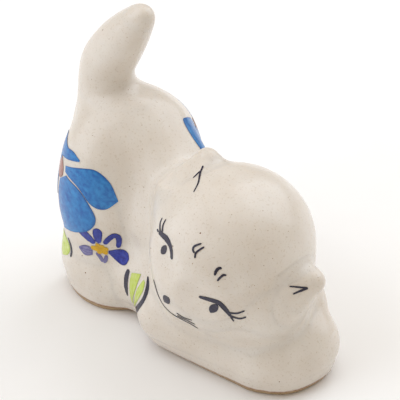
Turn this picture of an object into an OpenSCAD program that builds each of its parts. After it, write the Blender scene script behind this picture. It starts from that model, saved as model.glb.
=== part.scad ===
// Playing cat figurine: slip-cast stoneware shell with luted limbs and brush-painted colours.
// Millimetres, +Z up. The cat stretches along Y with its front paws towards -Y and its tail at +Y.
// Its right side is -X. The origin is on the table, under the middle of the cat.

/* [Clay] */
// Thickness of the cast clay wall
wall = 4; // [3:0.5:5]
// Diameter of the steam vent under the belly
vent_d = 3; // [2:0.5:3.5]
// Height of the belly above the table
belly_lift = 1.5; // [1:0.5:3]

/* [Trunk] */
// Width of the rump
rump_w = 33; // [28:1:38]
// Width of the waist
waist_w = 24; // [20:1:28]
// Height of the middle of the rump
rump_z = 40; // [36:1:44]
// How far the rump is behind the middle of the cat
rump_y = 24; // [21:1:27]

/* [Head] */
// Width of the head across the cheeks, without its ears
head_w = 40; // [36:1:44]
// Turn of the head to the cat's right, in degrees
head_turn = 82; // [60:1:100]
// Roll of the head towards its left ear, in degrees
head_roll = 30; // [10:1:40]
// Nod of the head towards its chin, in degrees
head_nod = 6; // [0:1:15]
// Height of the middle of the head
head_z = 30.5; // [28:0.5:34]

/* [Ears] */
// Length of an ear, from the middle of its root to its tip
ear_l = 11; // [9:0.5:12]
// Radius of an ear at its root
ear_root_r = 7.4; // [6:0.1:8]
// Radius of the ear's blunt tip
ear_tip_r = 2.4; // [1.8:0.1:3]

/* [Tail] */
// Radius of the tail at its root
tail_root_r = 7.4; // [6.5:0.1:8]
// Radius of the tail at its tip
tail_tip_r = 3; // [2.5:0.1:4]
// Height of the middle of the tail's tip
tail_top_z = 80; // [70:1:86]

/* [Legs] */
// Radius of a foreleg at its paw
paw_r = 7.8; // [7:0.1:9]
// How far the front paws reach ahead of the middle of the cat
paw_reach = 40; // [37:1:44]
// Half the distance between the two hind feet
hind_half_gap = 11; // [9:0.5:13]

/* [Paint] */
// Thickness of a painted colour layer
paint_t = 0.15; // [0.1:0.05:0.3]
// Length of a long petal of the large flowers
petal_l = 16; // [10:1:17]
// Length of a petal of the small flower
small_petal_l = 7; // [4:0.5:8]

/* [Hidden] */

CLAY = "#e8e4dc";
SKY = "#2b86cf";
RUST = "#8c4a2b";
COBALT = "#2a2c9c";
YOLK = "#d9b63a";
LIME = "#b4cf38";
INK = "#1d1f2e";

RIGHT = -1;
LEFT = 1;
ROWS = 22;
COLUMNS = 34;

head_at = [-0.5, -15.6, head_z];
paw_y = 3 + paw_r + 0.5 - paw_reach;

// An egg is [middle, half sizes, lean about X in degrees, width of its blend into the eggs before it].
TRUNK_EGGS = [
    [[0.5, rump_y + 0.4, rump_z], [rump_w / 2, 13, 16.3], -20, 0],
    [[0.3, 6.8, 28.3], [waist_w / 2, 21.5, 12.6], 42, 6],
    [[-0.5, 12.5, 45.5], [4.5, 12.5, 4], 29, 8],
    [[4.8, 11.4, 41.7], [7, 14, 7], 33, 6],
    [[0, -10, 15], [14, 14, 13], 0, 7],
    [[0, 6, 12], [13, 14, 10.5], 0, 5]
];
function hind_eggs(side) = [
    [[side * (hind_half_gap - 1) + 0.5, 24, 28], [9, 12.5, 20], 0, 0],
    [[side * hind_half_gap + 0.5, 23, 9], [8, 12.5, 10.5], 0, 5]
];
// The head is described looking towards -Y, upright, with its middle at the origin.
HEAD_EGGS = [
    [[-0.7, 0.5, 1.6], [head_w / 2, 21.3, 18.9], 0, 0],
    [[5.5, 0, -3.4], [head_w / 2 - 0.5, 14.9, 15.9], 0, 5],
    [[0.7, -8.4, -7.8], [8.2, 8.8, 7.8], 0, 6]
];
SKULL_MIDDLE = [1, 1, 0];

function lean(v, a) = [v.x, v.y * cos(a) - v.z * sin(a), v.y * sin(a) + v.z * cos(a)];
// Distance from point p to the surface of an egg, less than 0 inside it
function egg_gap(p, egg) =
    let (q = lean(p - egg[0], -egg[2]))
    let (near = norm([q.x / egg[1].x, q.y / egg[1].y, q.z / egg[1].z]))
    let (steep = norm([q.x / egg[1].x ^ 2, q.y / egg[1].y ^ 2, q.z / egg[1].z ^ 2]))
    steep == 0 ? -min(egg[1]) : near * (near - 1) / steep;
// The smaller of two distances, with a fillet of width k where they are close
function soft_min(a, b, k) = min(a, b) - max(k - abs(a - b), 0) ^ 2 / (4 * k);
function body_gap(p, eggs, i) =
    i == 0 ? egg_gap(p, eggs[0]) : soft_min(body_gap(p, eggs, i - 1), egg_gap(p, eggs[i]), eggs[i][3]);
// How far the skin is from a middle point along a direction, by halving the search range
function reach(middle, way, eggs, level, low = 0, high = 45, steps = 12) =
    steps == 0 ? (low + high) / 2
    : let (half = (low + high) / 2)
      body_gap(middle + way * half, eggs, len(eggs) - 1) < level
        ? reach(middle, way, eggs, level, half, high, steps - 1)
        : reach(middle, way, eggs, level, low, half, steps - 1);

// One closed skin around the blended eggs. level moves it outwards, or inwards when negative.
module skin(eggs, middle, level = 0, rows = ROWS, columns = COLUMNS) {
    points = [
        middle + [0, 0, -1] * reach(middle, [0, 0, -1], eggs, level),
        for (i = [1 : rows - 1], j = [0 : columns - 1])
            let (up = -90 + 180 * i / rows, round = 360 * j / columns)
            let (way = [cos(up) * cos(round), cos(up) * sin(round), sin(up)])
            middle + way * reach(middle, way, eggs, level),
        middle + [0, 0, 1] * reach(middle, [0, 0, 1], eggs, level)
    ];
    top = len(points) - 1;
    function at(i, j) = 1 + (i - 1) * columns + j % columns;
    faces = [
        for (j = [0 : columns - 1]) [0, at(1, j), at(1, j + 1)],
        for (i = [1 : rows - 2], j = [0 : columns - 1]) each [
            [at(i, j), at(i + 1, j), at(i + 1, j + 1)],
            [at(i, j), at(i + 1, j + 1), at(i, j + 1)]
        ],
        for (j = [0 : columns - 1]) [at(rows - 1, j), top, at(rows - 1, j + 1)]
    ];
    polyhedron(points, faces, convexity = 6);
}

// Turns a cut or joined piece into one closed skin
module one_piece() {
    resize([0, 0, 0]) children();
}

module above(height) {
    translate([-60, -60, height]) cube([120, 120, 120]);
}

module trunk_skin(level = 0) {
    skin(TRUNK_EGGS, [0.5, 10, 24], level);
}

module hind_skin(side, level = 0) {
    skin(hind_eggs(side), [side * hind_half_gap, 24, 20], level, 20, 24);
}

module head_pose() {
    translate(head_at) rotate([-head_nod, head_roll, -head_turn]) children();
}

module head_skin(level = 0) {
    head_pose() skin(HEAD_EGGS, SKULL_MIDDLE, level);
}

module egg(middle, half_sizes) {
    translate(middle) scale(half_sizes) sphere(r = 1, $fn = 24);
}

module foreleg_shape(side) {
    elbow = side == RIGHT ? [-9.5, -5, 10] : [12, -10, 11];
    paw = side == RIGHT ? [-2, paw_y, paw_r - 0.5] : [9, paw_y - 3, paw_r - 0.5];
    hull() {
        egg(elbow, [8.5, 8.5, 9]);
        egg(paw, [paw_r + 1.2, paw_r + 0.5, paw_r]);
    }
}

// Bezier route of the tail, from its root inside the rump to its tip
function tail_point(t) =
    (1 - t) ^ 3 * [-0.5, 32, 43] + 3 * (1 - t) ^ 2 * t * [-0.5, 34.5, 57]
    + 3 * (1 - t) * t ^ 2 * [-0.5, 31, 69] + t ^ 3 * [-0.5, 17.5, tail_top_z];
function tail_r(t) = tail_root_r + (tail_tip_r - tail_root_r) * t ^ 3;

module tail_shape() {
    links = 12;
    for (i = [0 : links - 1]) hull() for (k = [i, i + 1]) {
        translate(tail_point(k / links)) sphere(r = tail_r(k / links), $fn = 24);
    }
}

// A blunt cone with a thumb-pressed hollow in front
module ear_shape(side) {
    root = [side * 15.7, -2.4, 3];
    tip = root + [side * 0.38, 0.52, 0.77] * ear_l;
    thumb_r = 6;
    head_pose() difference() {
        hull() {
            egg(root, [ear_root_r, ear_root_r, ear_root_r]);
            egg(tip, [ear_tip_r, ear_tip_r, ear_tip_r]);
        }
        egg([side * 24, -8, 13.5], [thumb_r, thumb_r, thumb_r]);
    }
}

// The hollow that casting leaves, open from the trunk into the head and the haunches
module hollow() {
    skin(TRUNK_EGGS, [0.5, 10, 24], -wall, 12, 18);
    for (side = [RIGHT, LEFT]) skin(hind_eggs(side), [side * hind_half_gap, 24, 20], -wall, 10, 12);
    head_pose() skin(HEAD_EGGS, SKULL_MIDDLE, -wall, 12, 18);
    hull() {
        translate(head_at) sphere(r = 5, $fn = 16);
        translate([0.5, 2, 22]) sphere(r = 5, $fn = 16);
    }
    translate([0.5, 4, -1]) cylinder(d = vent_d, h = 20, $fn = 16);
}

// Pottery pieces. Each one is cut where it is luted to the next, so they meet face to face.
module trunk() {
    color(CLAY) one_piece() difference() {
        intersection() {
            trunk_skin();
            above(belly_lift);
        }
        head_skin();
        for (side = [RIGHT, LEFT]) {
            hind_skin(side);
            foreleg_shape(side);
        }
        tail_shape();
        hollow();
    }
}

module head() {
    color(CLAY) one_piece() difference() {
        head_skin();
        hollow();
    }
}

module ear(side) {
    color(CLAY) one_piece() difference() {
        ear_shape(side);
        head_skin();
        trunk_skin();
        foreleg_shape(LEFT);
        hind_skin(RIGHT);
    }
}

module tail() {
    color(CLAY) one_piece() difference() {
        tail_shape();
        hollow();
    }
}

module foreleg(side) {
    color(CLAY) one_piece() difference() {
        intersection() {
            foreleg_shape(side);
            above(0);
        }
        head_skin();
        hollow();
        if (side == LEFT) foreleg_shape(RIGHT);
    }
}

module hind_leg(side) {
    color(CLAY) one_piece() difference() {
        intersection() {
            hind_skin(side);
            above(0);
        }
        tail_shape();
        hollow();
        if (side == LEFT) hind_skin(RIGHT);
    }
}

// Paint. A drawing is flat, in millimetres, as seen by somebody looking at it from azimuth
// and elevation. It is laid on the skin along that line of sight.
module laid_on(at, azimuth, elevation, depth = 14) {
    translate(at) rotate([0, 0, azimuth]) rotate([90 - elevation, 0, 0])
        translate([0, 0, -depth / 2]) linear_extrude(depth) children();
}

module side_paint(side) {
    one_piece() intersection() {
        difference() {
            union() {
                trunk_skin(paint_t);
                hind_skin(side, paint_t);
            }
            trunk_skin();
            hind_skin(side);
            head_skin();
            foreleg_shape(side);
        }
        children();
    }
}

module face_paint() {
    one_piece() intersection() {
        difference() {
            head_skin(paint_t);
            head_skin();
        }
        head_pose() children();
    }
}

// A face mark lies on the line from the middle of the head in the given direction
module face_mark(azimuth, elevation) {
    rotate([0, 0, azimuth]) rotate([90 - elevation, 0, 0]) linear_extrude(40) children();
}

// A brush stroke through points, thinning from width first to width last
module stroke(points, first, last) {
    count = len(points) - 1;
    for (i = [0 : count - 1]) hull() for (k = [i, i + 1]) {
        translate(points[k]) circle(d = first + (last - first) * k / count, $fn = 10);
    }
}

// A petal pointing along +X, narrow at the flower's centre and round at its end
module petal(long, wide) {
    hull() {
        translate([long * 0.22, 0]) circle(d = wide * 0.3, $fn = 10);
        translate([long - wide * 0.4, 0]) circle(d = wide * 0.8, $fn = 20);
        translate([long * 0.6, 0]) circle(d = wide, $fn = 20);
    }
}

// Each petal is an angle, a length and a width, the last two against petal_l
module large_petals() {
    petals = [
        [-12, 1, 0.62], [-62, 1, 0.6], [-118, 1.1, 0.55],
        [172, 0.9, 0.55], [112, 0.8, 0.5], [50, 0.55, 0.36]
    ];
    for (p = petals) rotate(p[0]) petal(petal_l * p[1], petal_l * p[2]);
}

module flower_disc() {
    circle(r = 3.3, $fn = 16);
}

module large_flower(side) {
    at = side == RIGHT ? [-16.4, 31.4, 37.8] : [15.5, 17, 44];
    laid_on(at, side == RIGHT ? -117 : 100, side == RIGHT ? 7 : 20) children();
}

module flower_petals(side) {
    color(SKY) side_paint(side) large_flower(side) difference() {
        large_petals();
        flower_disc();
    }
}

module flower_centre(side) {
    color(RUST) side_paint(side) large_flower(side) flower_disc();
}

module small_flower() {
    laid_on([-16, 16.6, 19.9], -57, -2, 20) children();
}

module small_flower_petals() {
    angles = [128, 81, 40, -7, -65, 200];
    color(COBALT) side_paint(RIGHT) small_flower() difference() {
        for (a = angles) rotate(a) petal(small_petal_l, small_petal_l * 0.55);
        circle(r = 1.3, $fn = 12);
    }
}

module small_flower_centre() {
    color(YOLK) side_paint(RIGHT) small_flower() circle(r = 1.3, $fn = 12);
}

// Each leaf is one pointed green stroke between two darker ones
module leaf() {
    stroke([[0.8, 4.4], [0.2, 1.4], [-0.8, -2], [-1.6, -5]], 4, 0.8);
}

module leaf_edges() {
    stroke([[-2.6, 4.6], [-3.2, 1.5], [-3.2, -1.5]], 1.3, 1);
    stroke([[4, 3.6], [3.6, 0], [1.8, -3.4], [-0.6, -6]], 1.4, 1.6);
}

module on_leaf_places() {
    laid_on([-15, 3, 14.5], -105, 12, 20) children();
    laid_on([-17.5, 29.5, 15.5], -110, 6, 12) children();
}

module leaves() {
    color(LIME) side_paint(RIGHT) on_leaf_places() leaf();
}

module leaf_strokes() {
    color(INK) side_paint(RIGHT) on_leaf_places() leaf_edges();
}

// Drawn for the cat's left eye: +X is away from the nose
module eye_drawing() {
    scale([1.2, 1]) circle(d = 3.6, $fn = 20);
    stroke([[-3.6, 1.2], [-1.2, 2.2], [1.4, 2], [3.4, 0.4]], 1, 1.2);
    stroke([[3, 0.6], [5, 1.2], [6.6, 2.4]], 0.7, 0.3);
    stroke([[3, 0.4], [5.2, 0], [7.2, 0.6]], 0.7, 0.3);
}

module eyes() {
    color(INK) face_paint() {
        face_mark(29, 3) rotate(-8) eye_drawing();
        face_mark(-24, 6) rotate(8) mirror([1, 0]) eye_drawing();
    }
}

module nose() {
    color(INK) face_paint() face_mark(0, -22) scale([1.5, 1]) circle(d = 2.4, $fn = 16);
}

// One arc under the nose, with two whisker hairs at the cat's left
module mouth() {
    smile_r = 16;
    color(INK) face_paint() face_mark(0, -32) {
        stroke([for (a = [-30 : 10 : 30]) smile_r * [sin(a), 1 - cos(a)]], 0.5, 0.5);
        for (rise = [0.7, 1.4]) stroke([[4.5 + rise, 1 + rise], [9, 2 + 2 * rise]], 0.4, 0.3);
    }
}

module brow_marks() {
    color(INK) face_paint() for (azimuth = [-6, 18]) {
        face_mark(azimuth, 30) for (x = [-0.8, 0.8]) stroke([[x, -1], [x + 0.2, 1]], 0.7, 0.5);
    }
}

// A thin fork at the foot of each ear's front
module ear_marks() {
    color(INK) face_paint() for (side = [RIGHT, LEFT]) {
        face_mark(side * 58, 32) for (fork = [-1.2, 1.2]) stroke([[0, 1.4], [fork, -1.4]], 0.5, 0.3);
    }
}

trunk();
head();
ear(RIGHT);  // right_ear
ear(LEFT);  // left_ear
tail();
foreleg(RIGHT);  // right_foreleg
foreleg(LEFT);  // left_foreleg
hind_leg(RIGHT);  // right_hind_leg
hind_leg(LEFT);  // left_hind_leg
flower_petals(RIGHT);  // right_flower_petals
flower_centre(RIGHT);  // right_flower_centre
flower_petals(LEFT);  // left_flower_petals
flower_centre(LEFT);  // left_flower_centre
small_flower_petals();
small_flower_centre();
leaves();
leaf_strokes();
eyes();
nose();
mouth();
brow_marks();
ear_marks();
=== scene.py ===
import math

import bpy
import numpy as np
from mathutils import Matrix, Vector


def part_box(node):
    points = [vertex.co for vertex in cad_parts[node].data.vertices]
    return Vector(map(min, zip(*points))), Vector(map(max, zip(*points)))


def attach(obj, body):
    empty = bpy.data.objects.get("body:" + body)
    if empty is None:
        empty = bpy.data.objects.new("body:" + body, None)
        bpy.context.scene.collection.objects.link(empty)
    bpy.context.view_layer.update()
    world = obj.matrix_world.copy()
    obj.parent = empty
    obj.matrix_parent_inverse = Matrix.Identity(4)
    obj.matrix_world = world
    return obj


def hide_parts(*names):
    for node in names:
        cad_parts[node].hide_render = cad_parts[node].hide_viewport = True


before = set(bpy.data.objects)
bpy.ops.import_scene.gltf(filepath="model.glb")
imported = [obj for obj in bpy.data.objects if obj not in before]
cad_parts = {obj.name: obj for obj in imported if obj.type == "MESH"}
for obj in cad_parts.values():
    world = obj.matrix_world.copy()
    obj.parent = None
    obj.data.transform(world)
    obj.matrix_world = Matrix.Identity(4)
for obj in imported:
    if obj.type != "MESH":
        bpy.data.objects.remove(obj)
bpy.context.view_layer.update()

# ---------------------------------------------------------------------------------------------
# Trunk: the rump, waist and chest of a hollow, slip-cast stoneware cat. It is cast in one piece and
# everything else is luted to it. The clay is described as eggs and tapered rolls, in millimetres.
# ---------------------------------------------------------------------------------------------
MM = 0.001
RIGHT, LEFT = -1, 1


def middle_of(node):
    low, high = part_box(node)
    return np.array((low + high) / 2) / MM


def turn(axis, degrees):
    return np.array(Matrix.Rotation(math.radians(degrees), 3, axis))


def length(vectors):
    return np.sqrt(np.einsum("...i,...i", vectors, vectors))


class Egg:
    """An ellipsoid of clay: its middle, half sizes, pose, and the fillet into the clay before it."""

    def __init__(self, middle, half, pose=None, fillet=5):
        self.middle = np.array(middle, float)
        self.half = np.array(half, float)
        self.pose = np.eye(3) if pose is None else pose
        self.fillet = fillet

    def gap(self, points):
        q = (points - self.middle) @ (self.pose / self.half)
        near = length(q)
        return near * (near - 1) / (length(q / self.half) + 1e-9)

    def balls(self):
        return [(self.middle, self.half, self.pose)]


class Roll:
    """A rolled length of clay with round ends, from one radius to another."""

    def __init__(self, start, start_r, end, end_r, fillet=5):
        self.start, self.end = np.array(start, float), np.array(end, float)
        self.start_r, self.end_r = start_r, end_r
        self.fillet = fillet

    def gap(self, points):
        way = self.end - self.start
        along = np.clip((points - self.start) @ way / (way @ way), 0, 1)
        on_axis = self.start + along[..., None] * way
        radius = self.start_r + (self.end_r - self.start_r) * along
        return length(points - on_axis) - radius

    def balls(self):
        return [(self.start + (self.end - self.start) * t,
                 np.full(3, self.start_r + (self.end_r - self.start_r) * t), np.eye(3))
                for t in np.linspace(0, 1, 7)]


def smooth_line(points, pieces=8):
    """Points along a smooth curve through the given ones, so many to each step."""
    points = np.array(points, float)
    ends = np.vstack([2 * points[0] - points[1], points, 2 * points[-1] - points[-2]])
    t = np.linspace(0, 1, pieces, endpoint=False)[:, None]
    line = []
    for a, b, c, d in zip(ends, ends[1:], ends[2:], ends[3:]):
        bend, twist = 2 * a - 5 * b + 4 * c - d, 3 * b - a - 3 * c + d
        line.append(0.5 * (2 * b + (c - a) * t + bend * t ** 2 + twist * t ** 3))
    return np.vstack(line + [points[-1:]])


class Coil:
    """A rolled coil of clay, bent along a line of points with a radius at each."""

    def __init__(self, points, radii, fillet=5):
        line = smooth_line(np.column_stack([points, radii]), 5)
        self.line, self.radii = line[:, :3], line[:, 3]
        self.fillet = fillet

    def gap(self, points):
        gaps = length(points[..., None, :] - self.line) - self.radii
        near = np.clip(np.argmin(gaps, -1), 1, len(self.radii) - 2)[..., None]
        before, here, after = (np.take_along_axis(gaps, near + step, -1)[..., 0] for step in (-1, 0, 1))
        bend = np.maximum(before - 2 * here + after, 1e-6)
        beyond = np.clip((before - after) / (2 * bend), -1, 1)
        return here + (after - before) / 2 * beyond + bend / 2 * beyond ** 2

    def balls(self):
        return [(middle, np.full(3, radius), np.eye(3))
                for middle, radius in zip(self.line[::2], self.radii[::2])]


def soft_join(a, b, fillet):
    return np.minimum(a, b) - np.maximum(fillet - np.abs(a - b), 0) ** 2 / (4 * fillet)


def soft_cut(a, b, fillet):
    return -soft_join(-a, b, fillet)


def joined(points, members):
    gap = members[0].gap(points)
    for member in members[1:]:
        gap = soft_join(gap, member.gap(points), member.fillet)
    return gap


BODY_AT = middle_of("trunk")
TRUNK = [
    Egg(BODY_AT + (0, 14.9, 11.2), (16.7, 13, 16.3), turn("X", -20)),
    Egg(BODY_AT + (-0.2, -2.7, -0.8), (11.8, 21.5, 12.6), turn("X", 42), 6),
    Roll(BODY_AT + (-0.5, 11.1, 20.9), 3.6, BODY_AT + (-2, -5.5, 11.6), 3.6, 8),
    Roll(BODY_AT + (4.8, 8.2, 16.7), 7, BODY_AT + (3.8, -4.3, 8.5), 7, 6),
    Egg(BODY_AT + (-0.7, -19.1, -14.1), (14, 14, 13), fillet=7),
]

# ---------------------------------------------------------------------------------------------
# Hind legs: each is a haunch, a broad foot and the belly side that runs forward from it. They are
# cast apart and luted to the rump, and they stand on bare, ground soles.
# ---------------------------------------------------------------------------------------------


def hind_leg(side):
    at = middle_of("right_hind_leg" if side == RIGHT else "left_hind_leg")
    return [
        Egg(at + (0, 0.5 - side * 0.7, 4.4), (9.3, 13, 20.4), fillet=4),
        Egg(at + (side * 1.5, 0.4, -15), (8, 13, 11)),
        Egg(at + (-side * 2, -17, -12), (7, 12, 10)),
    ]


HIND_LEGS = {side: hind_leg(side) for side in (RIGHT, LEFT)}

# ---------------------------------------------------------------------------------------------
# Forelegs: two thick rolls stretched forward under the head, whose paws are pressed into one soft
# mass in front. The left one reaches further.
# ---------------------------------------------------------------------------------------------
RIGHT_ARM_AT, LEFT_ARM_AT = middle_of("right_foreleg"), middle_of("left_foreleg")
FORELEGS = {
    RIGHT: [Roll(RIGHT_ARM_AT + (-5.2, 12.2, 0.6), 8, RIGHT_ARM_AT + (2.5, -11.3, -2.4), 7.2)],
    LEFT: [Roll(LEFT_ARM_AT + (0.3, 11.2, 2.2), 9, LEFT_ARM_AT + (-1.8, -12, -1.8), 8.2),
           Egg(LEFT_ARM_AT + (1.5, -3.5, 4.5), (8, 9, 7.5), fillet=4)],
}
PAWS = Egg((RIGHT_ARM_AT + LEFT_ARM_AT) / 2 + (1.6, -13, -2.1), (12.8, 10.2, 8.7), fillet=3)

# ---------------------------------------------------------------------------------------------
# Tail: a thick tapered roll that rises from the rump and leans forward over the back. The blunt
# crease round its root is where it is luted on.
# ---------------------------------------------------------------------------------------------
TAIL_AT = middle_of("tail")
TAIL_BEND = [
    (5.6, -15.8), (5.7, -9.5), (5.7, -3.6), (3.9, 2.9),
    (-0.4, 9.4), (-4.6, 14.8), (-8.9, 20), (-10.4, 21.4),
]
TAIL_RADII = (7.4, 6.8, 6.7, 6.8, 6.3, 5.3, 3.8, 2.9)
TAIL = [Coil([TAIL_AT + (0, back, up) for back, up in TAIL_BEND], TAIL_RADII, 5)]

# ---------------------------------------------------------------------------------------------
# Head: a hollow ball with full cheeks, shallow eye sockets and a small muzzle, laid on the forelegs.
# It looks to the cat's right and is rolled towards its left ear. Points on it are (left, forward, up).
# ---------------------------------------------------------------------------------------------
HEAD_TURN, HEAD_ROLL, HEAD_NOD = 82, 30, 6
HEAD_AT = middle_of("head") + (-0.6, 1.3, 0.8)
HEAD_POSE = turn("Z", -HEAD_TURN) @ turn("Y", HEAD_ROLL) @ turn("X", -HEAD_NOD) @ np.diag([1, -1, 1])


def on_head(left, forward, up):
    return HEAD_AT + HEAD_POSE @ np.array([left, forward, up], float)


HEAD = [
    Egg(on_head(-0.7, -0.5, 1.6), (19.8, 21.3, 18.9), HEAD_POSE),
    Egg(on_head(5.5, 0.1, -3.4), (19.5, 14.9, 15.9), HEAD_POSE, 5),
    Egg(on_head(0.7, 8.4, -7.8), (8.2, 8.8, 7.8), HEAD_POSE, 6),
]
EYE_SOCKETS = [Egg(on_head(side * 8.5, 22, 0.5), (5.5, 2.6, 4.5), HEAD_POSE, 4) for side in (RIGHT, LEFT)]

# ---------------------------------------------------------------------------------------------
# Ears: two short blunt cones pinched out of clay and luted to the skull, each with a shallow
# thumb-pressed hollow in front.
# ---------------------------------------------------------------------------------------------
EARS = {
    side: [Roll(on_head(side * 15.7, 2.4, 3), 7.8, on_head(side * 19.8, -3.2, 11.3), 2.5, 5.5)]
    for side in (RIGHT, LEFT)
}
EAR_HOLLOWS = [Egg(on_head(side * 24, 8, 13.5), (6, 6, 6), HEAD_POSE, 4) for side in (RIGHT, LEFT)]

# ---------------------------------------------------------------------------------------------
# Luting: the members are pressed together leather-hard and the joints are wiped smooth with slip, so
# each flows into the next through a fillet. The soles are ground flat. The glaze stops just above
# them and leaves a step as thick as itself.
# ---------------------------------------------------------------------------------------------
BARE_HEIGHT = 1.5
GLAZE_STEP = 0.22
GLAZE_EDGE = 0.3
NECK_FILLET = 4
FOOT_HEIGHT = 5
FOOT_STEEPNESS = 0.5
SOLE_ROUNDING = 0.6
VOXEL = 0.5


def head_gap(points):
    gap = joined(points, HEAD + EARS[RIGHT] + EARS[LEFT])
    for dent in EAR_HOLLOWS + EYE_SOCKETS:
        gap = soft_cut(gap, dent.gap(points), dent.fillet)
    return gap


def clay_gap(points):
    """Distance from each point to the surface of the whole cat, less than 0 inside the clay."""
    height = points[..., 2]
    drawn_down = np.where(height < FOOT_HEIGHT, FOOT_HEIGHT + (height - FOOT_HEIGHT) * FOOT_STEEPNESS, height)
    points = np.stack([points[..., 0], points[..., 1], drawn_down], -1)
    body = TRUNK + HIND_LEGS[RIGHT] + HIND_LEGS[LEFT] + FORELEGS[RIGHT] + FORELEGS[LEFT] + [PAWS]
    gap = soft_join(joined(points, body), joined(points, TAIL), TAIL[0].fillet)
    gap = soft_join(gap, head_gap(points), NECK_FILLET)
    glazed = np.clip((height - BARE_HEIGHT) / GLAZE_EDGE + 0.5, 0, 1)
    unglazed = 1 - glazed ** 2 * (3 - 2 * glazed)
    return soft_cut(gap + GLAZE_STEP * unglazed, height, SOLE_ROUNDING)


def clay_slope(points, step=0.02):
    gap = clay_gap(points)
    return gap, np.stack([clay_gap(points + step * axis) - gap for axis in np.eye(3)], -1) / step


def clay_normal(points):
    slope = clay_slope(points)[1]
    return slope / (length(slope)[..., None] + 1e-9)


def press_to_clay(points, steps=3):
    for _ in range(steps):
        gap, slope = clay_slope(points)
        points = points - slope * (gap / ((slope ** 2).sum(-1) + 1e-9))[..., None]
    return points


def only(*pieces):
    bpy.ops.object.select_all(action="DESELECT")
    for piece in pieces:
        piece.select_set(True)
    if pieces:
        bpy.context.view_layer.objects.active = pieces[0]


def apply_modifier(piece, kind, **settings):
    only(piece)
    modifier = piece.modifiers.new(kind.title(), kind)
    for name, value in settings.items():
        setattr(modifier, name, value)
    bpy.ops.object.modifier_apply(modifier=modifier.name)


def read_points(piece):
    flat = np.empty(len(piece.data.vertices) * 3)
    piece.data.vertices.foreach_get("co", flat)
    return flat.reshape(-1, 3) / MM


def write_points(piece, points):
    piece.data.vertices.foreach_set("co", (points * MM).ravel())
    piece.data.update()


def pressed_together(members, name, grow=0.0, voxel=VOXEL):
    """One closed lump: a ball for each member, joined and remeshed. grow is in millimetres."""
    balls = []
    for member in members:
        for middle, half, pose in member.balls():
            bpy.ops.mesh.primitive_ico_sphere_add(subdivisions=4, radius=1)
            ball = bpy.context.object
            axes = pose * (half + grow) * np.linalg.det(pose)
            ball.matrix_world = Matrix.Translation(middle * MM) @ Matrix(axes * MM).to_4x4()
            balls.append(ball)
    only(*balls)
    bpy.ops.object.transform_apply(location=True, rotation=True, scale=True)
    if len(balls) > 1:
        bpy.ops.object.join()
    lump = balls[0]
    lump.name = name
    apply_modifier(lump, "REMESH", mode="VOXEL", voxel_size=voxel * MM)
    return lump


def block(low, high):
    only()
    bpy.ops.mesh.primitive_cube_add(size=1)
    cube = bpy.context.object
    cube.dimensions = (np.array(high) - low) * MM
    cube.location = (np.array(high) + low) / 2 * MM
    bpy.ops.object.transform_apply(location=True, rotation=True, scale=True)
    return cube


def boolean(piece, operation, other):
    apply_modifier(piece, "BOOLEAN", operation=operation, object=other, solver="MANIFOLD")


def sponge(piece, rounds=6):
    """Evens out the mesh and presses it back on to the blended form, as a wet sponge does."""
    for _ in range(rounds):
        only(piece)
        bpy.ops.object.mode_set(mode="EDIT")
        bpy.ops.mesh.select_all(action="SELECT")
        bpy.ops.mesh.vertices_smooth(factor=0.5, repeat=2)
        bpy.ops.object.mode_set(mode="OBJECT")
        write_points(piece, press_to_clay(read_points(piece), 1))
    write_points(piece, press_to_clay(read_points(piece), 2))


BENCH = 60
legs = HIND_LEGS[RIGHT] + HIND_LEGS[LEFT] + FORELEGS[RIGHT] + FORELEGS[LEFT] + [PAWS]
skin = pressed_together(TRUNK + legs + TAIL + HEAD + EARS[RIGHT] + EARS[LEFT], "skin")
below_table = block((-BENCH, -BENCH, -20), (BENCH, BENCH, 0))
boolean(skin, "DIFFERENCE", below_table)
bpy.data.objects.remove(below_table)
apply_modifier(skin, "REMESH", mode="VOXEL", voxel_size=VOXEL * MM)
sponge(skin)
only(skin)
bpy.ops.object.shade_smooth()


def copy_of(piece, name):
    twin = piece.copy()
    twin.data = piece.data.copy()
    twin.name = name
    bpy.context.scene.collection.objects.link(twin)
    return twin


def part_off(rest, cutter, name):
    """Cuts one member from the rest of the cat along the cutter, so that they meet face to face."""
    member = copy_of(rest, name)
    boolean(member, "INTERSECT", cutter)
    boolean(rest, "DIFFERENCE", cutter)
    bpy.data.objects.remove(cutter)
    return member


SKIN_TOLERANCE = 0.06


def finish_clay(member, node):
    """Gives a cut member the shading of the whole skin, so that the luted joint doesn't show."""
    outside = member.vertex_groups.new(name="outside")
    near = np.abs(clay_gap(read_points(member))) < SKIN_TOLERANCE
    outside.add([int(i) for i in np.nonzero(near)[0]], 1.0, "REPLACE")
    apply_modifier(member, "DATA_TRANSFER", object=skin, use_loop_data=True,
                   data_types_loops={"CUSTOM_NORMAL"}, loop_mapping="POLYINTERP_NEAREST",
                   vertex_group="outside")
    member.vertex_groups.clear()
    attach(member, "root")
    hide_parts(node)


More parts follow.
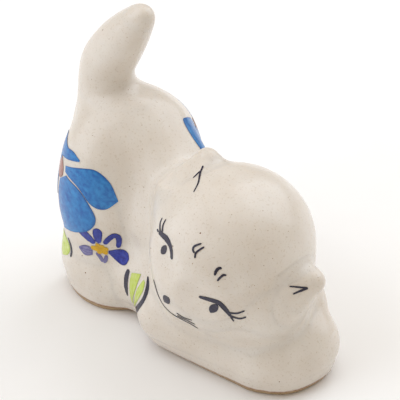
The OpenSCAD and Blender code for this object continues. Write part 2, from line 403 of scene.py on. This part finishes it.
trunk = copy_of(skin, "trunk_shell")
members = {}
CUTTER_VOXEL = 0.8
HEAD_GROW, SKULL_GROW, HAUNCH_GROW, ARM_GROW = 0.8, 0.3, 0.6, 0.9
head_cutter = pressed_together(HEAD + EARS[RIGHT] + EARS[LEFT], "head_cutter", HEAD_GROW, CUTTER_VOXEL)
members["head"] = part_off(trunk, head_cutter, "head_shell")
for side, name in ((RIGHT, "right_ear"), (LEFT, "left_ear")):
    ear_cutter = pressed_together([Egg(on_head(side * 18, -1, 12.5), (8.5, 9, 8.5), HEAD_POSE)], "ear_cutter",
                                  voxel=CUTTER_VOXEL)
    skull = pressed_together(HEAD[:1], "skull", SKULL_GROW, CUTTER_VOXEL)
    boolean(ear_cutter, "DIFFERENCE", skull)
    bpy.data.objects.remove(skull)
    members[name] = part_off(members["head"], ear_cutter, name + "_cone")
tail_cutter = pressed_together([Egg(TAIL_AT + (0, 2, 8), (14, 20, 15.5))], "tail_cutter", voxel=CUTTER_VOXEL)
members["tail"] = part_off(trunk, tail_cutter, "tail_roll")
for side, name in ((RIGHT, "right"), (LEFT, "left")):
    hind_cutter = pressed_together(HIND_LEGS[side][:2], "hind_cutter", HAUNCH_GROW, CUTTER_VOXEL)
    members[name + "_hind_leg"] = part_off(trunk, hind_cutter, name + "_haunch")
PAWS_MEET = 3.2
for side, name in ((RIGHT, "right"), (LEFT, "left")):
    arm_cutter = pressed_together(FORELEGS[side] + [PAWS], "arm_cutter", ARM_GROW, CUTTER_VOXEL)
    low, high = (PAWS_MEET, BENCH) if side == RIGHT else (-BENCH, PAWS_MEET)
    other_half = block((low, -BENCH, -5), (high, BENCH, 40))
    boolean(arm_cutter, "DIFFERENCE", other_half)
    bpy.data.objects.remove(other_half)
    members[name + "_foreleg"] = part_off(trunk, arm_cutter, name + "_arm")
members["trunk"] = trunk
for node, member in members.items():
    finish_clay(member, node)
    print(node, len(member.data.vertices), len(member.data.polygons))

# ---------------------------------------------------------------------------------------------
# Glaze: clear, softly glossy and slightly wavy over warm off-white stoneware. Iron in the clay comes up as
# small brown specks. The ground soles are bare buff clay, with a rust-brown line where the glaze ends.
# ---------------------------------------------------------------------------------------------


def linear(hex_colour):
    """A hex sRGB colour as linear red, green, blue and full alpha."""
    channels = [int(hex_colour[i:i + 2], 16) / 255 for i in (1, 3, 5)]
    return (*[c / 12.92 if c <= 0.04045 else ((c + 0.055) / 1.055) ** 2.4 for c in channels], 1)


def add_node(material, kind, settings=None, values=None, links=None):
    """Adds a node. values sets sockets, and links joins sockets to other nodes' outputs."""
    node = material.node_tree.nodes.new("ShaderNode" + kind)
    for name, value in (settings or {}).items():
        setattr(node, name, value)
    for socket, value in (values or {}).items():
        node.inputs[socket].default_value = value
    for socket, output in (links or {}).items():
        material.node_tree.links.new(output, node.inputs[socket])
    return node


def new_material(name):
    material = bpy.data.materials.new(name)
    material.use_nodes = True
    material.node_tree.nodes.clear()
    return material


def ramp(material, factor, stops):
    """A colour ramp through (position, colour) stops."""
    node = add_node(material, "ValToRGB", links={"Fac": factor})
    elements = node.color_ramp.elements
    while len(elements) < len(stops):
        elements.new(0.5)
    for element, (position, colour) in zip(elements, stops):
        element.position, element.color = position, colour
    return node.outputs["Color"]


def mix(material, factor, a, b):
    node = add_node(material, "Mix", {"data_type": "RGBA"})
    sockets = {"fac": node.inputs[0], "a": node.inputs[6], "b": node.inputs[7]}
    for key, value in (("fac", factor), ("a", a), ("b", b)):
        if isinstance(value, bpy.types.NodeSocket):
            material.node_tree.links.new(value, sockets[key])
        else:
            sockets[key].default_value = value
    return node.outputs[2]


def per_mm(size):
    """Texture scale for a pattern that repeats every so many millimetres."""
    return 1 / (size * MM)


GLAZE_IOR = 1.5
GLAZE_ROUGHNESS, BARE_ROUGHNESS = 0.25, 0.75
TOAST_WIDTH = 0.9
WHITE = (1, 1, 1, 1)


def glaze_bump(material, coordinates):
    """The faint waviness of a fired glaze, about 2.5 mm from crest to crest."""
    waves = add_node(material, "TexNoise", values={"Scale": per_mm(2.5), "Detail": 2.0},
                     links={"Vector": coordinates})
    return add_node(material, "Bump", values={"Strength": 0.25, "Distance": 0.02 * MM},
                    links={"Height": waves.outputs["Fac"]}).outputs["Normal"]


def glazed_stoneware():
    m = new_material("glazed_stoneware")
    where = add_node(m, "TexCoord").outputs["Object"]
    clouds = add_node(m, "TexNoise", values={"Scale": per_mm(9), "Detail": 4.0}, links={"Vector": where})
    cream = ramp(m, clouds.outputs["Fac"], [(0.35, linear("#dfd8cf")), (0.65, linear("#d9d0c5"))])
    grain = add_node(m, "TexNoise", values={"Scale": per_mm(0.5), "Detail": 2.0}, links={"Vector": where})
    fine = ramp(m, grain.outputs["Fac"], [(0.30, linear("#d9cdb9")), (0.42, linear("#ffffff"))])
    body = add_node(m, "Mix", {"data_type": "RGBA", "blend_type": "MULTIPLY"}, {0: 0.35})
    m.node_tree.links.new(cream, body.inputs[6])
    m.node_tree.links.new(fine, body.inputs[7])
    colour = body.outputs[2]
    for spacing, radius, share, tint in ((4.5, 0.2, 0.75, "#7a5a40"), (1.4, 0.12, 0.7, "#ab9379")):
        cells = add_node(m, "TexVoronoi", values={"Scale": per_mm(spacing)}, links={"Vector": where})
        dot = add_node(m, "Math", {"operation": "LESS_THAN"}, {1: radius / spacing},
                       {0: cells.outputs["Distance"]})
        pick = add_node(m, "SeparateColor", links={"Color": cells.outputs["Color"]})
        rare = add_node(m, "Math", {"operation": "GREATER_THAN"}, {1: share}, {0: pick.outputs["Red"]})
        speck = add_node(m, "Math", {"operation": "MULTIPLY"},
                         links={0: dot.outputs[0], 1: rare.outputs[0]})
        colour = mix(m, speck.outputs[0], colour, linear(tint))
    height = add_node(m, "SeparateXYZ", links={"Vector": where}).outputs["Z"]
    wander = add_node(m, "TexNoise", values={"Scale": per_mm(2), "Detail": 3.0}, links={"Vector": where})
    edge = add_node(m, "Math", {"operation": "MULTIPLY_ADD"}, {1: 0.7 * MM, 2: -0.35 * MM},
                    {0: wander.outputs["Fac"]})
    level = add_node(m, "Math", {"operation": "ADD"}, links={0: height, 1: edge.outputs[0]})
    line_top = (BARE_HEIGHT + TOAST_WIDTH) * MM
    toast = add_node(m, "MapRange", values={"From Min": BARE_HEIGHT * MM, "From Max": line_top},
                     links={"Value": level.outputs[0]})
    toasted = ramp(m, toast.outputs["Result"], [
        (0.0, linear("#c9b393")), (0.1, linear("#8f5a30")), (0.35, linear("#b98b60")), (1.0, WHITE),
    ])
    stained = add_node(m, "Mix", {"data_type": "RGBA", "blend_type": "MULTIPLY"}, {0: 1.0})
    m.node_tree.links.new(colour, stained.inputs[6])
    m.node_tree.links.new(toasted, stained.inputs[7])
    gloss = add_node(m, "MapRange", values={
        "From Min": BARE_HEIGHT * MM, "From Max": (BARE_HEIGHT + GLAZE_EDGE / 2) * MM,
        "To Min": BARE_ROUGHNESS, "To Max": GLAZE_ROUGHNESS,
    }, links={"Value": height})
    surface = add_node(m, "BsdfPrincipled", values={
        "IOR": GLAZE_IOR, "Subsurface Weight": 0.15,
        "Subsurface Radius": (1.0, 0.8, 0.6), "Subsurface Scale": 1.5 * MM,
    }, links={
        "Base Color": stained.outputs[2], "Roughness": gloss.outputs["Result"],
        "Normal": glaze_bump(m, where),
    })
    add_node(m, "OutputMaterial", links={"Surface": surface.outputs[0]})
    return m


stoneware = glazed_stoneware()
for member in members.values():
    member.data.materials.clear()
    member.data.materials.append(stoneware)

# ---------------------------------------------------------------------------------------------
# Large flowers: one on each haunch. A loaded soft brush lays each sky-blue petal under the glaze,
# with a hair of bare clay between petals, round a rust-brown centre. Petals run round the rump.
# ---------------------------------------------------------------------------------------------
PAINT_LIFT = 0.03
PAINT_DEPTH = 0.08
STROKE_STEP = 0.006
UP = np.array([0, 0, 1.0])


def stroke(points, widths, wobble=0.05, grain=0.25, seed=0):
    """A brush stroke: a band along a smooth line, with round ends and a slightly unsteady edge."""
    spread = length(np.diff(np.array(points, float), axis=0)).mean()
    line = smooth_line(points, max(2, round(spread / grain)))
    ahead = np.gradient(line, axis=0)
    ahead /= length(ahead)[:, None]
    side = np.stack([-ahead[:, 1], ahead[:, 0]], 1)
    along = np.concatenate([[0], np.cumsum(length(np.diff(line, axis=0)))])
    width = np.interp(along, np.linspace(0, along[-1], len(widths)), widths)
    for near, end in ((along, width[0]), (along[-1] - along, width[-1])):
        cap = np.clip(near / (end / 2), 0, 1)
        width = width * np.sqrt(1 - (1 - cap) ** 2 * 0.97)
    shake = np.random.default_rng(seed).uniform(0, 6.28, 4)
    unsteady = sum(np.sin(along * k + shake[i]) for i, k in enumerate((1.1, 2.3, 3.9, 6.1))) / 4
    half = width / 2 * (1 + wobble * unsteady)
    across = np.linspace(-1, 1, max(3, int(max(widths) / 0.45) | 1))
    flat = line[:, None, :] + side[:, None, :] * (half[:, None] * across[None, :])[..., None]
    return flat, np.stack(np.broadcast_arrays(along[:, None], across[None, :]), -1)


def evenly(points, count):
    line = smooth_line(points, 12)
    along = np.concatenate([[0], np.cumsum(length(np.diff(line, axis=0)))])
    wanted = np.linspace(0, along[-1], count)
    return np.stack([np.interp(wanted, along, line[:, k]) for k in (0, 1)], 1)


def dab(one_edge, other_edge, grain=0.35):
    """A dab of colour that fills the space between two edges, each drawn from its base to its tip."""
    count = int(length(np.diff(evenly(one_edge, 30), axis=0)).sum() / grain) + 2
    a, b = evenly(one_edge, count), evenly(other_edge, count)
    ahead, over = a[-1] + b[-1] - a[0] - b[0], (b - a).mean(0)
    if ahead[0] * over[1] < ahead[1] * over[0]:
        a, b = b, a
    across = np.linspace(-1, 1, int(length(b - a).max() / grain) | 1)
    flat = a[:, None] + (b - a)[:, None] * (across[:, None] + 1) / 2
    along = np.linspace(0, count * grain, count)
    return flat, np.stack(np.broadcast_arrays(along[:, None], across[None, :]), -1)


def petal(angle, long, wide, seed):
    """A petal as one press of the brush, from the flower's middle outwards along an angle."""
    way = np.array([math.cos(math.radians(angle)), math.sin(math.radians(angle))])
    widths = [wide * w for w in (0.22, 0.5, 0.8, 0.97, 1.0, 0.92)]
    return stroke([way * long * t for t in (0.2, 0.4, 0.7, 1.0)], widths, 0.035, 0.35, seed)


DEEP_INSIDE, REACH_STEPS = 6.0, 40


def round_the_rump(flat, middle):
    """Carries a flat drawing round the rump: across is an arc from the middle, and up is height."""
    from_axis = middle - RUMP_AXIS
    facing = math.atan2(from_axis[0], -from_axis[1]) + flat[:, 0] / RUMP_RADIUS
    way = np.stack([np.sin(facing), -np.cos(facing), 0 * facing], 1)
    axis = RUMP_AXIS * (1, 1, 0) + UP * (middle[2] + flat[:, 1:])
    reach = np.full(len(flat), DEEP_INSIDE)
    for _ in range(REACH_STEPS):
        reach = reach - 0.9 * clay_gap(axis + way * reach[:, None])
    return press_to_clay(axis + way * reach[:, None], 1)


def on_the_clay(flat, anchor, up, steps=8):
    """Carries a flat drawing on to the clay. Each point walks its own distance from the anchor."""
    normal = clay_normal(anchor)
    up = up - normal * (up @ normal)
    up /= length(up)
    right = np.cross(up, normal)
    far = length(flat)[:, None]
    heading = (flat[:, :1] * right + flat[:, 1:] * up) / np.maximum(far, 1e-6)
    points = np.broadcast_to(anchor, heading.shape).copy()
    for _ in range(steps):
        points = press_to_clay(points + heading * far / steps, 1)
        normals = clay_normal(points)
        heading = heading - normals * (heading * normals).sum(-1, keepdims=True)
        heading /= length(heading)[:, None] + 1e-9
    return press_to_clay(points, 2)


def painted(name, node, material, places):
    """Paints strokes at one or more places as a thin colour layer. A place is (strokes, carry, where)."""
    corners, uvs, faces = [], [], []
    for strokes, carry, where in places:
        for order, (flat, marks) in enumerate(strokes):
            laid = carry(flat.reshape(-1, 2), *where)
            laid = laid + clay_normal(laid) * (PAINT_LIFT + STROKE_STEP * order)
            rows, columns = flat.shape[:2]
            first = sum(len(c) for c in corners)
            corners.append(laid)
            uvs.append(marks.reshape(-1, 2))
            faces += [(first + i * columns + j, first + i * columns + j + 1,
                       first + (i + 1) * columns + j + 1, first + (i + 1) * columns + j)
                      for i in range(rows - 1) for j in range(columns - 1)]
    mesh = bpy.data.meshes.new(name)
    mesh.from_pydata((np.vstack(corners) * MM).tolist(), [], faces)
    layer = bpy.data.objects.new(name, mesh)
    bpy.context.scene.collection.objects.link(layer)
    index = np.empty(len(mesh.loops), int)
    mesh.loops.foreach_get("vertex_index", index)
    mesh.uv_layers.new(name="brush").data.foreach_set("uv", np.vstack(uvs)[index].ravel())
    only(layer)
    bpy.ops.object.shade_smooth()
    apply_modifier(layer, "SOLIDIFY", thickness=PAINT_DEPTH * MM, offset=-1)
    apply_modifier(layer, "DATA_TRANSFER", object=skin, use_loop_data=True,
                   data_types_loops={"CUSTOM_NORMAL"}, loop_mapping="POLYINTERP_NEAREST")
    mesh.materials.append(material)
    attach(layer, "root")
    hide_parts(node)


def underglaze(name, thin, thick, pooled, streak=0.5):
    """Brushed underglaze colour. It is thin and streaky along the stroke and pools at its edge."""
    m = new_material(name)
    where = add_node(m, "TexCoord")
    brush = add_node(m, "Mapping", values={"Scale": (0.35, 3.0, 1)}, links={"Vector": where.outputs["UV"]})
    hairs = add_node(m, "TexNoise", values={"Scale": 1.0, "Detail": 4.0, "Roughness": 0.6},
                     links={"Vector": brush.outputs[0]})
    blots = add_node(m, "TexNoise", values={"Scale": per_mm(1.2), "Detail": 3.0},
                     links={"Vector": where.outputs["Object"]})
    load = add_node(m, "Mix", {"data_type": "FLOAT"}, {0: streak},
                    {2: blots.outputs["Fac"], 3: hairs.outputs["Fac"]}).outputs[0]
    wash = ramp(m, load, [(0.36, linear(thin)), (0.62, linear(thick))])
    across = add_node(m, "SeparateXYZ", links={"Vector": where.outputs["UV"]}).outputs["Y"]
    off_centre = add_node(m, "Math", {"operation": "ABSOLUTE"}, links={0: across})
    pool = add_node(m, "MapRange", values={"From Min": 0.86, "From Max": 0.97, "To Max": 0.65},
                    links={"Value": off_centre.outputs[0]})
    colour = mix(m, pool.outputs["Result"], wash, linear(pooled))
    surface = add_node(m, "BsdfPrincipled", values={"IOR": GLAZE_IOR, "Roughness": GLAZE_ROUGHNESS},
                       links={"Base Color": colour, "Normal": glaze_bump(m, where.outputs["Object"])})
    add_node(m, "OutputMaterial", links={"Surface": surface.outputs[0]})
    return m


sky = underglaze("sky_blue_underglaze", "#2f88c8", "#115ca8", "#0d4a8e")
rust = underglaze("rust_underglaze", "#a3685c", "#8a4e40", "#6f3b30")
RUMP_AXIS = BODY_AT + (-0.5, 12.5, 0)
RUMP_RADIUS = 17


def large_petals(side):
    """The petals of a large flower. The left one is narrower and sits higher, over the back."""
    narrow, lift = (1, 0) if side == RIGHT else (0.72, 2.5)

    def edge(*points):
        return [(-side * narrow * x, y + lift) for x, y in points]

    def guessed(angle, long, wide, seed):
        return petal(angle if side == RIGHT else 180 - angle, long, wide, seed)
    petals = [
        guessed(172, 12, 8.5, 10),
        guessed(-128, 13, 9, 11),
        dab(edge((3.4, 2.4), (9.5, 4.6), (13.5, 4.9), (17.4, 2.3), (19.7, -2)),
            edge((3.6, 0.8), (8.7, -0.8), (12.9, -4.5), (16.4, -4.9), (19.7, -2.4))),
        dab(edge((0.8, -3), (0.2, -8), (0.2, -13), (1.2, -17.6)),
            edge((4.2, 0), (9.6, -1.8), (13.9, -7.5), (12.6, -11.8), (8, -15), (1.6, -17.7))),
    ]
    if side == RIGHT:
        petals += [
            guessed(118, 9, 7, 12),
            dab(edge((-0.5, 7.9), (2.3, 7), (5.3, 7.2), (8.2, 6.2)),
                edge((0, 3.4), (3.1, 4.2), (5.6, 5), (8.2, 5.8))),
        ]
    return petals


for side, name in ((RIGHT, "right"), (LEFT, "left")):
    where = [middle_of(name + "_flower_centre")]
    painted(name + "_petals", name + "_flower_petals", sky,
            [(large_petals(side), round_the_rump, where)])
    disc = stroke([(-2.4, 0.3), (0, 0), (2.4, -0.2)], [5.6, 6.6, 5.6], 0.08, 0.35, 20)
    painted(name + "_disc", name + "_flower_centre", rust,
            [([disc], round_the_rump, where)])

# ---------------------------------------------------------------------------------------------
# Small flower: petals of dark cobalt, each one or two touches of a pointed brush, round a yellow
# centre. The lowest petals were laid with a nearly dry brush and are washed out.
# ---------------------------------------------------------------------------------------------
cobalt = underglaze("cobalt_underglaze", "#3447ac", "#191d78", "#121248")
washed_cobalt = underglaze("washed_cobalt_underglaze", "#8f8bb0", "#4c4a86", "#34326a", 0.8)
yolk = underglaze("yellow_underglaze", "#dcb21a", "#c69606", "#8f7410")
on_flank = (press_to_clay(middle_of("small_flower_centre")), UP)
loaded_petals = [
    stroke([(-1.3, 1.5), (-3.6, 3.2), (-6.2, 4.9)], [1.4, 2.5, 3, 2.8], 0.06, 0.25, 30),
    stroke([(-0.3, 1.9), (-0.4, 4.4), (-0.2, 6.8)], [1.2, 2.2, 2.6, 2.4], 0.06, 0.25, 31),
    stroke([(1.2, 1.9), (2.4, 3.7), (3.8, 4.9), (4.9, 4.4), (5, 2.7), (4.6, 0.9)],
           [1.2, 1.5, 1.5, 1.2], 0.1, 0.2, 32),
    dab([(2.2, -0.2), (4.7, 0.5), (6.5, 0.5), (7.8, -0.2), (8.4, -1.3)],
        [(2.2, -1), (4.4, -2.6), (6.3, -3.3), (7.7, -2.9), (8.4, -1.6)], 0.3),
]
washed_petals = [
    stroke([(-1.1, -1.4), (-0.1, -2.3), (0.8, -3.7)], [0.9, 1.1, 0.8], 0.1, 0.2, 33),
    stroke([(1.6, -1.6), (1.5, -2.8), (1.1, -3.9)], [0.8, 1.1, 0.8], 0.1, 0.2, 34),
    dab([(-2.1, -0.3), (-3.4, -0.1), (-4.8, -0.4), (-6.5, -1.5)],
        [(-2.1, -2.3), (-3.5, -3), (-4.8, -3.1), (-6.5, -2)], 0.3),
]
painted("small_petals", "small_flower_petals", cobalt,
        [(loaded_petals, on_the_clay, on_flank)])
painted("washed_petals", "small_flower_petals", washed_cobalt,
        [(washed_petals, on_the_clay, on_flank)])
TOUCHES = ((2.4, 112), (2, 60), (2.2, 8), (2.5, -38), (2.1, -100), (2.6, 185))
touches = []
for i, (far, degrees) in enumerate(TOUCHES):
    angle = math.radians(degrees)
    tip = (far * math.cos(angle), 0.75 * far * math.sin(angle))
    touches.append(stroke([(0, 0), tip], [2, 1.1], 0.1, 0.2, 40 + i))
painted("small_centre", "small_flower_centre", yolk,
        [(touches, on_the_clay, on_flank)])

# ---------------------------------------------------------------------------------------------
# Leaves: lime-green blades between dark strokes, one leaf behind the haunch and a longer one where
# the belly meets the right foreleg.
# ---------------------------------------------------------------------------------------------
lime = underglaze("lime_underglaze", "#cdd88a", "#b3c832", "#9fb62c")
ink = underglaze("ink_underglaze", "#36344c", "#1e1c2b", "#15131f", 0.7)
at_belly = (press_to_clay(BODY_AT + (-15.5, -6.5, -14.7)), UP)
behind_haunch = (press_to_clay(BODY_AT + (-18.3, 19.6, -13.9)), UP)
front_blades = [
    dab([(-4.1, 2.4), (-3.8, -0.2), (-3.4, -2.8), (-3.2, -6.4)],
        [(-1, 4.2), (-0.8, 1.5), (-1, -1.6), (-2.4, -5.8)], 0.3),
    dab([(0.9, 3.8), (0.1, 0.5), (-0.4, -3), (-2.2, -6.4)],
        [(1.8, 3.7), (3.1, 1.2), (2, -2.4), (-1.6, -6.6)], 0.3),
]
front_strokes = [
    stroke([(-5.5, 2.5), (-5.4, 0.2), (-5.1, -2.1), (-4.7, -5.2)], [1.2, 1.5, 1.4, 0.4], 0.08, 0.25, 51),
    stroke([(1.5, 5.4), (4.1, 3.1), (5.1, 0.6), (4.2, -2.2), (1.9, -4.9), (-0.9, -6.9)],
           [0.5, 1.4, 1.5, 1.6, 1.7, 1.2], 0.06, 0.25, 52),
]
rear_blades = [
    dab([(-3.2, 2.8), (-3.7, 0), (-3.2, -3.6)],
        [(-1.7, 2.7), (1.6, 1.6), (2.6, 0), (1.6, -2.2), (-1.8, -4.4)], 0.3),
]
rear_strokes = [stroke([(1.2, 2.9), (2.7, 1.6), (3.4, 0), (3.2, -1.9)], [0.4, 0.7, 0.8, 0.6], 0.08, 0.2, 54)]
painted("leaf_blades", "leaves", lime,
        [(front_blades, on_the_clay, at_belly), (rear_blades, on_the_clay, behind_haunch)])
painted("leaf_lines", "leaf_strokes", ink,
        [(front_strokes, on_the_clay, at_belly), (rear_strokes, on_the_clay, behind_haunch)])

# ---------------------------------------------------------------------------------------------
# Eyes: a round dark iris hanging from a heavy lid line that ends in two curved lashes, drawn with a
# hair brush. The lids droop outwards.
# ---------------------------------------------------------------------------------------------
HEAD_UP = HEAD_POSE @ UP


def face_at(azimuth, elevation):
    """The point on the clay in a direction from the middle of the head."""
    a, e = math.radians(azimuth), math.radians(elevation)
    way = HEAD_POSE @ np.array([math.sin(a) * math.cos(e), math.cos(a) * math.cos(e), math.sin(e)])
    reach = np.arange(8, 32, 0.1)
    outside = clay_gap(HEAD_AT + reach[:, None] * way) > 0
    return press_to_clay(HEAD_AT + reach[np.argmax(outside)] * way)


HAIR = 0.2
right_eye = [
    stroke([(-0.9, 0), (0, 0), (0.9, 0)], [3.6, 4.4, 3.6], 0.05, HAIR, 60),
    stroke([(-4.5, 1), (-3.1, 1.8), (-1.3, 2.8), (0.6, 3), (2.1, 2.3), (3.3, 0.9)],
           [1, 1.3, 1.6, 1.3, 1.1, 0.9], 0.06, HAIR, 61),
    stroke([(-7.3, 2.9), (-6.4, 1.9), (-4.1, 1.5)], [0.35, 0.5, 0.6], 0.06, HAIR, 62),
    stroke([(-6, 4.2), (-5.1, 3), (-3.5, 2.2)], [0.35, 0.5, 0.6], 0.06, HAIR, 63),
    stroke([(-5.6, 0.4), (-4.5, 0.8)], [0.4, 0.5], 0.06, HAIR, 64),
]
left_eye = [
    stroke([(-1, 0), (0, 0), (1, 0)], [4.1, 4.9, 4.1], 0.05, HAIR, 65),
    stroke([(-4.4, 0.2), (-2.2, 1.6), (0, 2.5), (2.3, 1.7), (4.5, 0.3)],
           [0.8, 1.2, 1.4, 1.2, 0.7], 0.06, HAIR, 66),
    stroke([(3.1, 1), (5.1, 1.9), (6.4, 3.6)], [0.6, 0.5, 0.35], 0.06, HAIR, 67),
    stroke([(4.2, 0.3), (6.5, 0.8), (7.6, 2.2)], [0.6, 0.5, 0.35], 0.06, HAIR, 68),
    stroke([(4.5, 0.2), (5.9, -0.8)], [0.5, 0.35], 0.06, HAIR, 69),
]
painted("eye_lines", "eyes", ink, [
    (right_eye, on_the_clay, (face_at(-23.8, 6), HEAD_UP)),
    (left_eye, on_the_clay, (face_at(29.4, 2.6), HEAD_UP)),
])

# ---------------------------------------------------------------------------------------------
# Nose, smile and whiskers: a brown-black oval, one thin line under it and a few hair strokes.
# ---------------------------------------------------------------------------------------------
nose_at = (face_at(0.3, -21.7), HEAD_UP)
nose_dab = [stroke([(-1.1, 0.1), (0, 0), (1.2, -0.3)], [2.8, 3.6, 2.8], 0.05, HAIR, 70)]
painted("nose_dab", "nose", ink, [(nose_dab, on_the_clay, nose_at)])
smile = [
    stroke([(-6, -0.9), (-4.3, -1.8), (-2.4, -3.4), (0, -4.8),
            (2.6, -4.6), (5, -3.6), (7.9, -3.4), (10.1, -4.8)],
           [0.45, 0.55, 0.6, 0.5, 0.4], 0.1, HAIR, 71),
    stroke([(3.9, -1.6), (6, -1.4), (7.9, -0.6)], [0.4, 0.4, 0.3], 0.1, HAIR, 72),
    stroke([(4.3, -2.7), (6.8, -2.1), (9.1, -2.2)], [0.4, 0.4, 0.3], 0.1, HAIR, 73),
]
painted("smile_lines", "mouth", ink, [(smile, on_the_clay, nose_at)])

# ---------------------------------------------------------------------------------------------
# Brow and ear marks: two short hooked strokes over each eye, and a thin fork in each ear.
# ---------------------------------------------------------------------------------------------
right_brow = [
    stroke([(-0.4, 1.5), (-1, -0.3), (-0.6, -1.1), (0.2, -1.3)], [0.35, 0.5, 0.5, 0.4], 0.08, HAIR, 80),
    stroke([(0.6, 1.5), (0.4, -0.9), (1.2, -2)], [0.4, 0.5, 0.4], 0.08, HAIR, 81),
]
left_brow = [
    stroke([(-0.3, 1.4), (-0.9, 1), (-1, 0), (-0.7, -1)], [0.5, 0.7, 0.7, 0.5], 0.08, HAIR, 82),
    stroke([(1.5, 0.6), (0.9, 0.3), (0.6, -0.7), (0.5, -1.8)], [0.4, 0.55, 0.55, 0.4], 0.08, HAIR, 83),
]
painted("brow_lines", "brow_marks", ink, [
    (right_brow, on_the_clay, (face_at(-6.2, 30.8), HEAD_UP)),
    (left_brow, on_the_clay, (face_at(17.8, 28.9), HEAD_UP)),
])
right_fork = [
    stroke([(-4.2, -0.2), (-1.6, -0.2), (2.2, 0.5), (5.2, 0.3)], [0.4, 0.5, 0.4, 0.25], 0.1, HAIR, 84),
    stroke([(-2.4, -0.4), (-0.3, -1.7)], [0.5, 0.3], 0.1, HAIR, 85),
]
left_fork = [
    stroke([(2.1, 0.7), (0, 0.4), (-2.7, 0)], [0.5, 0.4, 0.3], 0.1, HAIR, 86),
    stroke([(2.1, 0.7), (1.2, 0.1), (0.1, -0.7), (-1.1, -1.6)], [0.5, 0.55, 0.3], 0.1, HAIR, 87),
]
painted("ear_lines", "ear_marks", ink, [
    (right_fork, on_the_clay, (face_at(-73.3, 37.8), HEAD_UP)),
    (left_fork, on_the_clay, (face_at(83.1, 30.4), HEAD_UP)),
])

bpy.data.objects.remove(skin)

# ---------------------------------------------------------------------------------------------
# Studio: a plain pale table, broad soft lights and the camera.
# ---------------------------------------------------------------------------------------------
only()
bpy.ops.mesh.primitive_plane_add(size=6)
table = bpy.context.object
table.name = "table"
paper = new_material("white_paper")
paper_grain = add_node(paper, "TexNoise", values={"Scale": per_mm(40)},
                       links={"Vector": add_node(paper, "TexCoord").outputs["Object"]})
paper_tone = ramp(paper, paper_grain.outputs["Fac"], [(0.3, linear("#f6f6f6")), (0.7, linear("#f9f9f9"))])
paper_surface = add_node(paper, "BsdfPrincipled", values={"Roughness": 0.8}, links={"Base Color": paper_tone})
add_node(paper, "OutputMaterial", links={"Surface": paper_surface.outputs[0]})
table.data.materials.append(paper)

TARGET = Vector((0, -3.6, 38)) * MM


def from_target(azimuth, elevation, distance):
    """A place seen from the target. Azimuth 0 is in front of the cat and 90 is at its left."""
    a, e = math.radians(azimuth), math.radians(elevation)
    return TARGET + Vector((math.sin(a) * math.cos(e), -math.cos(a) * math.cos(e), math.sin(e))) * distance


def softbox(name, azimuth, elevation, size, power, colour):
    bpy.ops.object.light_add(type="AREA", location=from_target(azimuth, elevation, 1))
    light = bpy.context.object
    light.name = name
    light.data.size = size
    light.data.energy = power
    light.data.color = linear(colour)[:3]
    light.rotation_euler = (light.location - TARGET).to_track_quat("Z", "Y").to_euler()


softbox("left_box", -122, 35, 1.0, 5.7, "#e9f2ff")
softbox("right_box", 85, 40, 1.0, 5.5, "#e9f2ff")
softbox("top_box", 150, 80, 1.2, 3.0, "#ffffff")
studio = bpy.data.worlds.new("studio")
bpy.context.scene.world = studio
studio.use_nodes = True
studio.node_tree.nodes["Background"].inputs["Color"].default_value = linear("#fff1dc")
studio.node_tree.nodes["Background"].inputs["Strength"].default_value = 0.5
bpy.context.scene.view_settings.view_transform = "Standard"

CAMERA_AZIMUTH, CAMERA_ELEVATION, CAMERA_DISTANCE = -40, 35, 0.4
bpy.ops.object.camera_add(location=from_target(CAMERA_AZIMUTH, CAMERA_ELEVATION, CAMERA_DISTANCE))
camera = bpy.context.object
camera.rotation_euler = (camera.location - TARGET).to_track_quat("Z", "Y").to_euler()
camera.data.sensor_width = 36
camera.data.lens = 147.6
camera.data.shift_y = 0.005
bpy.context.scene.camera = camera
